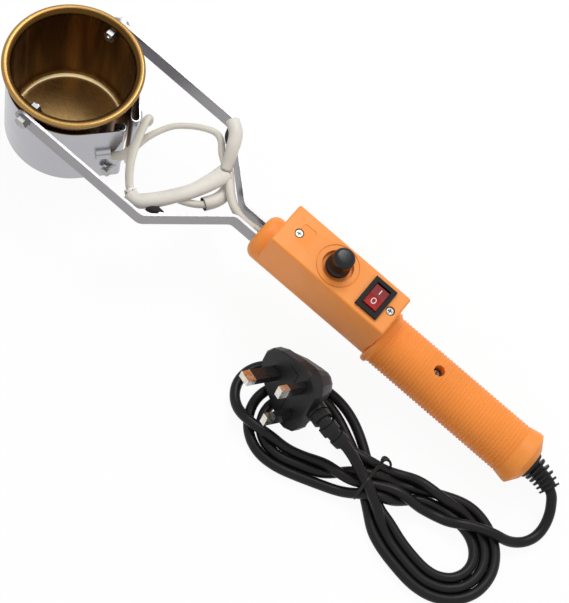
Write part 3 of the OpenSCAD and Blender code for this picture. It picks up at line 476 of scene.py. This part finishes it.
def screw_head_with_painted_shade():
    """Plated screw head, bright inside; painted shade darkens its cross and a band round its rim,
    where the recess it sits in lies in shade.
    """
    s = Shader("sunk_screw")
    at = s.space()
    along = s.dot(at, ALONG)
    across = s.add("SeparateXYZ", {"Vector": at}).outputs["Y"]
    square = s.math("MULTIPLY", across, across)
    # painted shade: the cross recess and a band round each head are mixed to near black
    dark = 0.0
    for place in SCREWS:
        run = s.math("SUBTRACT", along, tool(place, 0, 0).dot(ALONG) * MM)
        radius = s.math("SQRT", s.math("ADD", s.math("MULTIPLY", run, run), square))
        inside = s.range(radius, 0, 1, 0.0018, 0.0022)
        edge = s.math("MULTIPLY", inside, s.range(radius, 1, 0, 0.004, 0.0041))
        slot = s.math("MINIMUM", s.math("ABSOLUTE", run), s.math("ABSOLUTE", across))
        slot = s.range(slot, 1, 0, 0.0002, 0.00035)
        slot = s.math("MULTIPLY", slot, s.range(radius, 1, 0, 0.0011, 0.0014))
        dark = s.math("MAXIMUM", dark, s.math("MAXIMUM", edge, slot))
    cloud = s.noise(at, 600, 3)
    silver = s.mix(s.range(cloud, 0, 1), (0.34, 0.34, 0.33), (0.62, 0.62, 0.60))
    return s.finish(
        Base_Color=s.mix(dark, silver, (0.05, 0.035, 0.025)),
        Metallic=0.9,
        Roughness=s.range(cloud, 0.25, 0.4),
        Normal=s.bump(cloud, 0.3, 0.0001),
    )


def black(name, value, rough, grain, strength, gloss):
    """Black moulding: a grey level, and how strongly its surface shines."""
    colour = (value, value, value + 0.001)
    return moulded(name, colour, rough, 0.3, grain, strength, Specular_IOR_Level=gloss)


MATS = {
    # the orange moulding carries a faint painted highlight on its sharp edges
    "orange_moulding": moulded(
        "orange_plastic", (0.87, 0.285, 0.046), 0.46, 0.05, 1300, 0.3, 0.06, Specular_IOR_Level=0.3
    ),
    "knob_black": black("knob_plastic", 0.006, 0.3, 900, 0.15, 0.32),
    "switch_black": black("bezel_plastic", 0.008, 0.45, 1100, 0.4, 0.17),
    "rocker_red": rocker_with_lit_half(),
    "lead_black": moulded(
        "cord_rubber", (0.006, 0.006, 0.0065), 0.4, 0.35, 420, 0.3, Specular_IOR_Level=0.22
    ),
    "relief_black": black("relief_rubber", 0.007, 0.46, 800, 0.4, 0.24),
    "tie_black": black("tie_plastic", 0.007, 0.34, 900, 0.3, 0.28),
    "plug_black": black("plug_plastic", 0.008, 0.42, 1500, 0.5, 0.3),
    "board_green": moulded("board", (0.03, 0.16, 0.06), 0.35, 0.25, 600, 0.3),
    "chip_black": moulded("chip", (0.02, 0.02, 0.02), 0.5, 0.2),
    "terminal_green": moulded("terminal", (0.05, 0.2, 0.1), 0.45, 0.2),
    "clamp_white": moulded("clamp_nylon", (0.78, 0.77, 0.73), 0.5, 0.08),
    "fuse_white": moulded("fuse_ceramic", (0.8, 0.78, 0.72), 0.3, 0.08),
    "mica": metal("mica_sheet", (0.30, 0.22, 0.13), 0.5, (60, 60, 900), LEVEL, 0.4, 0.3),
    "polished_steel": metal(
        "sheath_steel", (0.45, 0.445, 0.475), 0.2, (30, 30, 700), LEVEL, 0.06, 0.02
    ),
    "zinc": metal("plated_zinc", (0.44, 0.44, 0.43), 0.28, (300, 300, 300), LEVEL, 0.35, 0.2),
    "strip_steel": metal(
        "rolled_strip", (0.33, 0.32, 0.33), 0.36, (14, 900, 900), TOOL_TURN, 0.12, 0.15
    ),
    "block_aluminium": metal("milled_block", (0.62, 0.62, 0.63), 0.34, (300, 20, 300)),
    "control_case": metal("control_can", (0.45, 0.42, 0.35), 0.35, (200, 200, 200)),
    "brass_cup": crucible_metal(),
    "pin_brass": plug_pin_finish(),
    "glass_sleeve": sleeve_cloth("varnished_sleeve", (0.74, 0.70, 0.61)),
    "thread_white": thread_finish(),
    # painted shade: near-black for the insides of open tube ends, where shade falls
    "black_inside": moulded("painted_shade_mouth", (0.01, 0.01, 0.01), 0.8, 0.3, 600, 0.4),
    "foil": metal("bright_strip", (0.9, 0.9, 0.88), 0.2, (200, 200, 200)),
    "print_white": moulded("white_print", (0.85, 0.82, 0.80), 0.5, 0.05),
}

node_slot = {row["node"]: row["material_slot"] for row in frame["record"]["subparts"]}


def dress(obj, mat):
    """One finish on the whole object."""
    if not obj.data.materials:
        obj.data.materials.append(mat)
    for i in range(len(obj.data.materials)):
        obj.data.materials[i] = mat


dress(cord, MATS["lead_black"])
for name, obj in frame["nodes"].items():
    dress(obj, MATS[node_slot[name]])
sunk = screw_head_with_painted_shade()
for name in ("case_screws", "grip_screw"):
    dress(frame["nodes"][name], sunk)


# ---------------------------------------------------------------- mesh helpers
def new_object(name, mesh, mat, body=BODY):
    mesh.update()
    mesh.polygons.foreach_set("use_smooth", [True] * len(mesh.polygons))
    obj = bpy.data.objects.new(name, mesh)
    bpy.context.scene.collection.objects.link(obj)
    mesh.materials.append(mat)
    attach(obj, body)
    return obj


def frames_along(points, side=None):
    """Side and normal at each point, carried without twist."""
    t = np.gradient(points, axis=0)
    t /= np.linalg.norm(t, axis=1)[:, None]
    if side is None:
        side = np.cross(t[0], (0, 0, 1) if abs(t[0][2]) < 0.8 else (0, 1, 0))
    side = np.array(side, float)
    sides = []
    for k in t:
        side = side - k * (side @ k)
        side /= np.linalg.norm(side)
        sides.append(side)
    sides = np.array(sides)
    return sides, np.cross(t, sides)


def fix_normals(mesh, weld=0.0):
    bm = bmesh.new()
    bm.from_mesh(mesh)
    if weld:
        bmesh.ops.remove_doubles(bm, verts=bm.verts, dist=weld)
    bmesh.ops.recalc_face_normals(bm, faces=bm.faces)
    bm.to_mesh(mesh)
    bm.free()


def ring_faces(rings, sides, closed=False):
    """Quads between rings of points, one ring after the other."""
    return [
        (k * sides + j, k * sides + m, n * sides + m, n * sides + j)
        for k in range(rings if closed else rings - 1)
        for n in [(k + 1) % rings]
        for j in range(sides)
        for m in [(j + 1) % sides]
    ]


SLEEVE_STEP, SLEEVE_SIDES, SLEEVE_WALL = 1.2, 28, 0.55
UV_RUN = 10


def sleeve(name, points, wide, high, mat, mouth=(0, 0), replaced=None):
    """Hollow swept tube; wide and high are rows of half widths along its length, in mm.
    mouth says which ends are open, and how many steps deep the painted shade inside goes; the end
    caps of an open tube are painted shade too."""
    line = even(points, SLEEVE_STEP)
    n, sides = len(line), SLEEVE_SIDES
    u = np.linspace(0, 1, n)
    wide, high = (np.interp(u, np.linspace(0, 1, len(w)), w) for w in (wide, high))
    s, up = frames_along(line)
    rings = [(i, 0) for i in range(n)]
    if mouth[0]:
        rings = [(i, SLEEVE_WALL) for i in range(min(mouth[0], n - 1), -1, -1)] + rings
    if mouth[1]:
        rings += [(i, SLEEVE_WALL) for i in range(n - 1, max(n - 1 - mouth[1], 0), -1)]
    verts = [
        line[i] + s[i] * (wide[i] - wall) * math.cos(t) + up[i] * (high[i] - wall) * math.sin(t)
        for i, wall in rings
        for t in np.linspace(0, 2 * math.pi, sides, endpoint=False)
    ]
    faces = ring_faces(len(rings), sides)
    tube_faces = len(faces)
    faces.append(tuple(range(sides)))
    faces.append(tuple((len(rings) - 1) * sides + j for j in range(sides - 1, -1, -1)))
    mesh = bpy.data.meshes.new(name)
    mesh.from_pydata([tuple(v * MM) for v in verts], [], faces)
    layer = mesh.uv_layers.new(name="UVMap")
    for k in range(tube_faces):
        r, j = divmod(k, sides)
        a, b = (rings[q][0] * SLEEVE_STEP / UV_RUN for q in (r, r + 1))
        corners = (j, a), (j + 1, a), (j + 1, b), (j, b)
        for c, (x, y) in enumerate(corners):
            layer.data[4 * k + c].uv = (x / sides, y)
    obj = new_object(name, mesh, mat)
    mesh.materials.append(MATS["black_inside"])
    # painted shade: inner wall rings at open ends, and the end caps of an open tube, take the
    # near-black material
    for k, p in enumerate(mesh.polygons):
        if k >= tube_faces:
            p.material_index = 1 if any(mouth) else 0
            p.use_smooth = False
        elif rings[k // sides][1] or rings[k // sides + 1][1]:
            p.material_index = 1
    fix_normals(mesh)
    if replaced:
        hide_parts(replaced)
    return obj


def drape(name, rows, node, body, mat, lift=0.04):
    """Thin print laid on a CAD node: rows of pairs of tool points (x, y), seen from above."""
    src = frame["nodes"][node]
    tree = BVHTree.FromPolygons(
        [src.matrix_world @ v.co for v in src.data.vertices],
        [tuple(p.vertices) for p in src.data.polygons],
    )
    verts = []
    for x, y in (point for pair in rows for point in pair):
        hit = tree.ray_cast(tool(x, y, 60) * MM, -UP)[0] or tool(x, y, 33) * MM
        verts.append(tuple(hit + UP * lift * MM))
    faces = [(2 * k, 2 * k + 1, 2 * k + 3, 2 * k + 2) for k in range(len(rows) - 1)]
    mesh = bpy.data.meshes.new(name)
    mesh.from_pydata(verts, [], faces)
    return new_object(name, mesh, mat, body)


# ---------------------------------------------------------------- heat knob
DIAL_X = 38


def lathe(name, profile, at, mat, body, sides=72):
    """Closed profile of radius and height, in mm, turned about the tool's upright."""
    side, back = ALONG, UP.cross(ALONG)
    verts = [
        at + side * r * math.cos(a) + back * r * math.sin(a) + UP * h
        for r, h in profile
        for a in np.linspace(0, 2 * math.pi, sides, endpoint=False)
    ]
    mesh = bpy.data.meshes.new(name)
    mesh.from_pydata([tuple(v * MM) for v in verts], [], ring_faces(len(profile), sides, True))
    fix_normals(mesh, weld=1e-7)
    return new_object(name, mesh, mat, body)


knob_profile = [
    (0, 15.2), (3, 15.15), (4.7, 14.95), (5.7, 14.4), (6.2, 13.5), (6.35, 12.3), (6.3, 11.2),
    (6.05, 10.4), (5.8, 9.8), (5.7, 8), (5.75, 5.4), (5.9, 4.1), (6.3, 3.2), (6.9, 2.6),
    (7.15, 2.1), (7.2, 1.5), (7.2, 0.2), (7.0, 0), (4.1, 0), (4.1, 1.5), (3.05, 1.6),
    (3.05, 11.6), (0, 11.6),
]
knob_foot = tool(DIAL_X, 0, BOX_H - 0.7)
knob = lathe("heat_knob", knob_profile, knob_foot, MATS["knob_black"], "dial")
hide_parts("dial_knob")

# ---------------------------------------------------------------- heater leads
CREAM, MOUTH_SHADE = MATS["glass_sleeve"], MATS["black_inside"]
FAT = sleeve_cloth("silicone_splice", (0.74, 0.70, 0.63), 0.42, 14, 0.22)
SLEEVE = "glass_sleeve"
HOOD = (28.75, 25.0)
HOOD_X, HOOD_Y = 0.6561, 0.7547


def hood_out(side, out):
    """Point on the axis of a lead hood, by its side and how far along."""
    x, y = 9.5 + out, 2.4
    return (HOOD[0] + HOOD_X * x + HOOD_Y * y, side * (HOOD[1] - HOOD_Y * x + HOOD_X * y), 30)


sleeve(
    "near_sleeve",
    [hood_out(-1, 1.9), hood_out(-1, 8), (49, -10.5, 36), (53.4, 3.2, 43), (60.5, 15.5, 48),
     (68.9, 22.7, 50), (77.5, 27.2, 51.3), (84.4, 28.6, 52), (89.5, 26.2, 51.8), (94, 21.5, 50),
     (99.5, 17.5, 48.6)],
    [1.2, 3.0, 3.4, 2.6, 2.0, 1.8, 1.8, 1.9, 2.0, 2.1, 2.1],
    [1.4, 1.6, 1.7, 1.8, 1.8, 1.8, 1.8, 1.8, 1.9, 1.9, 1.9],
    CREAM, replaced="sleeve_near",
)
sleeve(
    "far_sleeve",
    [hood_out(1, 1.9), hood_out(1, 7.5), (46, 15, 36), (47.6, 13.6, 43), (48.4, 11.2, 49.5),
     (49.3, 7.5, 54.3), (51.6, -1, 53), (55.4, -12.4, 49), (60.5, -21.2, 47), (66.3, -28.3, 46),
     (69.8, -31, 45.8)],
    [2.0, 2.2, 2.2, 2.2, 2.4, 2.9, 3.3, 3.3, 3.0, 2.7, 2.5],
    [1.9, 2.0, 2.0, 2.0, 2.0, 2.0, 1.9, 1.9, 1.9, 2.0, 2.1],
    CREAM, replaced="sleeve_far",
)
sleeve(
    "inlet_sleeve",
    [(101.8, 17.6, 47.6), (105.6, 14.4, 47.3), (109.4, 10.1, 46.6), (113.6, 5.8, 45.8),
     (119.2, 1.8, 45), (126, -0.8, 44.2), (133.4, -1.2, 43.2), tool(-11, 0, 0),
     tool(-0.6, 0, 0)],
    [2.7], [2.6], CREAM, replaced="sleeve_handle",
)
sleeve(
    "joint_sleeve",
    [(90.5, -17.5, 45.3), (97, -14.4, 44), (103.2, -9.8, 42.6), (108.3, -3.4, 41)],
    [2.2], [2.0], CREAM, replaced="sleeve_joint",
)
sleeve(
    "near_splice",
    [(69.8, -33, 45.4), (76.5, -33, 46), (83.9, -25.6, 46.4), (90.5, -16.3, 46.8),
     (96.4, -6.4, 47), (100.5, 4.5, 47.4), (103.2, 14.4, 47.8)],
    [4.2, 4.7, 4.6, 4.4, 4.6, 5.3, 5.9], [3.4, 3.8, 3.6, 3.3, 3.3, 3.2, 3.2],
    FAT, mouth=(5, 6), replaced="splice_near",
)
sleeve(
    "far_splice",
    [(88.2, 37.2, 60.0), (94.5, 31.6, 60.2), (98.2, 24.6, 57.2), (101, 18.4, 52.4),
     (102.4, 14.4, 49.6)],
    [4.0, 4.2, 4.1, 3.7, 3.2], [3.9, 3.9, 3.7, 3.2, 2.6],
    FAT, mouth=(6, 0), replaced="splice_far",
)
sleeve(
    "open_splice",
    [(104.5, -7.5, 41.3), (108, -1, 40.8), (109.2, 5, 40), (108.4, 11.2, 39)],
    [4.1, 4.2, 4.2, 4.0], [3.9, 3.8, 3.8, 3.8], FAT, mouth=(6, 0), replaced="splice_open",
)
# painted shade: short near-black tubes set in the open ends of the splices, where shade falls
sleeve(
    "far_mouth_shade",
    [(88.6, 32.6, 58.0), (90.6, 30.4, 58.3), (92.4, 27.6, 58.2), (94, 24.4, 57.0)],
    [0.7, 2.1, 2.1, 0.6], [0.7, 1.9, 1.9, 0.6], MOUTH_SHADE,
)
sleeve(
    "near_mouth_shade",
    [(79.6, -32.6, 45.0), (83, -32.2, 45.8), (87.5, -30.6, 45.8), (91.5, -28.6, 45.0)],
    [0.9, 2.9, 2.9, 0.7], [0.8, 1.9, 1.9, 0.6], MOUTH_SHADE,
)
# ---------------------------------------------------------------- tie and lacing
TIE_X = 275
TIE_REACH, TIE_LOW = CORD_D / 2 + 0.4, 0.45


def hull_2d(points):
    pts = sorted(set((round(a, 3), round(b, 3)) for a, b in points))
    out = []
    for run in (pts, pts[::-1]):
        half = []
        for p in run:
            while len(half) > 1:
                a, b = half[-2:]
                if (b[0] - a[0]) * (p[1] - a[1]) > (b[1] - a[1]) * (p[0] - a[0]):
                    break
                half.pop()
            half.append(p)
        out += half[:-1]
    return out


STRAP = [(0.5, 0.2), (0.35, 0.5), (-0.35, 0.5), (-0.5, 0.2)]
STRAP = [(-a, b) for a, b in STRAP] + [(a, -b) for a, b in STRAP]


def band(name, line, wide, thick, mat, slot, closed=False, side=None):
    """Flat strap with rounded edges along a line, in mm."""
    s, up = frames_along(line, side)
    verts = [
        line[i] + s[i] * wide * a + up[i] * thick * b for i in range(len(line)) for a, b in STRAP
    ]
    k, last = len(STRAP), (len(line) - 1) * len(STRAP)
    faces = ring_faces(len(line), k, closed)
    if not closed:
        faces += [tuple(range(k)), tuple(range(last + k - 1, last - 1, -1))]
    mesh = bpy.data.meshes.new(name)
    mesh.from_pydata([tuple(v * MM) for v in verts], [], faces)
    fix_normals(mesh)
    return new_object(name, mesh, mat)


strip_line = even([(81.6, -34.2, 46.4), (87, -32.2, 46.6), (93.4, -29.6, 45.6)], 1.0)
band("bright_strip", strip_line, 1.5, 0.35, MATS["foil"], SLEEVE, side=(0.35, -0.85, -0.1))
heading = Vector((3.5, -2.7, -0.2)).normalized()
flat = heading.cross(Vector((0, 0, 1))).normalized()
upright = flat.cross(heading)
knot = np.array([
    tuple(Vector((69.6, -31.1, 45.8)) + flat * 3.3 * math.cos(a) + upright * 2.7 * math.sin(a))
    for a in np.linspace(0, 2 * math.pi, 30)[:-1]
])
lacing = band(
    "sleeve_lacing", knot, 2.4, 0.8, MATS["thread_white"], "thread_white", True, tuple(heading)
)
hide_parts("sleeve_ties")

crossings = [
    p + (q - p) * (TIE_X - p[0]) / (q[0] - p[0])
    for p, q in zip(cord_points, cord_points[1:])
    if (p[0] - TIE_X) * (q[0] - TIE_X) <= 0 and p[0] != q[0]
]
loop = hull_2d(
    (c[1] + TIE_REACH * math.cos(a), max(TIE_LOW, c[2] + TIE_REACH * math.sin(a)))
    for c in crossings
    for a in np.linspace(0, 2 * math.pi, 20, endpoint=False)
)
loop = np.array([(TIE_X, a, b) for a, b in loop + loop[:1]])
run = np.r_[0, np.cumsum(np.linalg.norm(np.diff(loop, axis=0), axis=1))]
at = np.linspace(0, run[-1], int(run[-1] / 0.8))[:-1]
loop = np.stack([np.interp(at, run, loop[:, k]) for k in range(3)], 1)
BLACK_TIE = (MATS["tie_black"], "tie_black")
tie = band("tie_band", loop, 2.0, 0.7, *BLACK_TIE, closed=True, side=(1, 0, 0))
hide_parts("lead_tie")
top = loop[np.argmax(loop[:, 1] * 0.7 + loop[:, 2])]
END_A = [(0, 0, 0), (0.4, 1.6, 0.9), (1.6, 2.9, 1.0), (3.4, 3.4, 0), (5, 2.4, -0.6), (5.6, 1, -1.4)]
END_B = [(0, 0, 0), (-0.7, 1.4, 0.4), (-0.8, 2.9, 0.5), (0.4, 4.1, -0.2), (2.4, 4.3, -0.9)]
tie_ends = [
    band(name, even([top + np.array(p) for p in path], 0.5), 1.7, 0.7, *BLACK_TIE)
    for name, path in (("tie_end_a", END_A), ("tie_end_b", END_B))
]

# ---------------------------------------------------------------- marks on the rocker
SWITCH_AT = 65.5
PRINT = ("switch_rocker", "rocker", MATS["print_white"])


def bar(x, y0, y1, wide, n=8):
    """Rows of pairs for a straight mark across the tool."""
    return [
        ((x - wide / 2, y0 + (y1 - y0) * k / n), (x + wide / 2, y0 + (y1 - y0) * k / n))
        for k in range(n + 1)
    ]


def oval(x, y, a, b, wide, n=32):
    """Rows of pairs round an oval mark."""
    turns = [2 * math.pi * k / n for k in range(n + 1)]
    return [
        [(x + (a + w) * math.cos(t), y + (b + w) * math.sin(t)) for w in (wide / 2, -wide / 2)]
        for t in turns
    ]


drape("mark_on", bar(SWITCH_AT, 1.9, 4.6, 0.5), *PRINT)
drape("mark_off", oval(SWITCH_AT, -2.7, 1.3, 1.7, 0.42), *PRINT)

# ---------------------------------------------------------------- floor, light, background
WHITE = (1, 1, 1)
FLOOR_HALF, FLOOR_Z = 6, -0.0003

SQUARE = ((-1, -1), (1, -1), (1, 1), (-1, 1))
corners = [(x * FLOOR_HALF, y * FLOOR_HALF, FLOOR_Z) for x, y in SQUARE]
floor_mesh = bpy.data.meshes.new("floor")
floor_mesh.from_pydata(corners, [], [(0, 1, 2, 3)])
floor = bpy.data.objects.new("floor", floor_mesh)
bpy.context.scene.collection.objects.link(floor)
s = Shader("floor_white")
paper = s.noise(s.space(), 40, 2)
tone = s.mix(s.range(paper, 0, 1), (0.88, 0.88, 0.88), (0.9, 0.9, 0.9))
s.finish(Base_Color=tone, Roughness=0.9)
glow = s.add("Emission", {"Color": WHITE, "Strength": 1.0})
blend = s.add("MixShader", {0: s.math("MULTIPLY", s.straight_rays(), 0.93)})
s.put(blend.inputs[1], s.bsdf.outputs[0])
s.put(blend.inputs[2], glow.outputs[0])
s.put(s.nodes["Material Output"].inputs["Surface"], blend.outputs[0])
floor_mesh.materials.append(s.mat)

world = bpy.data.worlds.new("world")
bpy.context.scene.world = world
world.use_nodes = True
w = Shader.__new__(Shader)
w.tree, w.nodes = world.node_tree, world.node_tree.nodes
w.coord = w.nodes.new("ShaderNodeTexCoord")
height = w.add("SeparateXYZ", {"Vector": w.coord.outputs["Generated"]}).outputs["Z"]
sky = w.mix(w.range(height, 0, 1, 0.0, 0.9), (0.56, 0.56, 0.57), (0.80, 0.80, 0.80))
w.put(w.nodes["Background"].inputs["Color"], w.mix(w.straight_rays(), sky, WHITE))


def soft_box(name, at, aim, size, watts):
    data = bpy.data.lights.new(name, "AREA")
    data.energy, data.size = watts, size
    obj = bpy.data.objects.new(name, data)
    bpy.context.scene.collection.objects.link(obj)
    obj.location = at
    obj.rotation_mode = "QUATERNION"
    obj.rotation_quaternion = (Vector(aim) - Vector(at)).to_track_quat("-Z", "Y")


soft_box("key", (0.0, 0.55, 1.0), (0.18, 0, 0.03), 0.5, 6)
bpy.context.scene.view_settings.view_transform = "Standard"
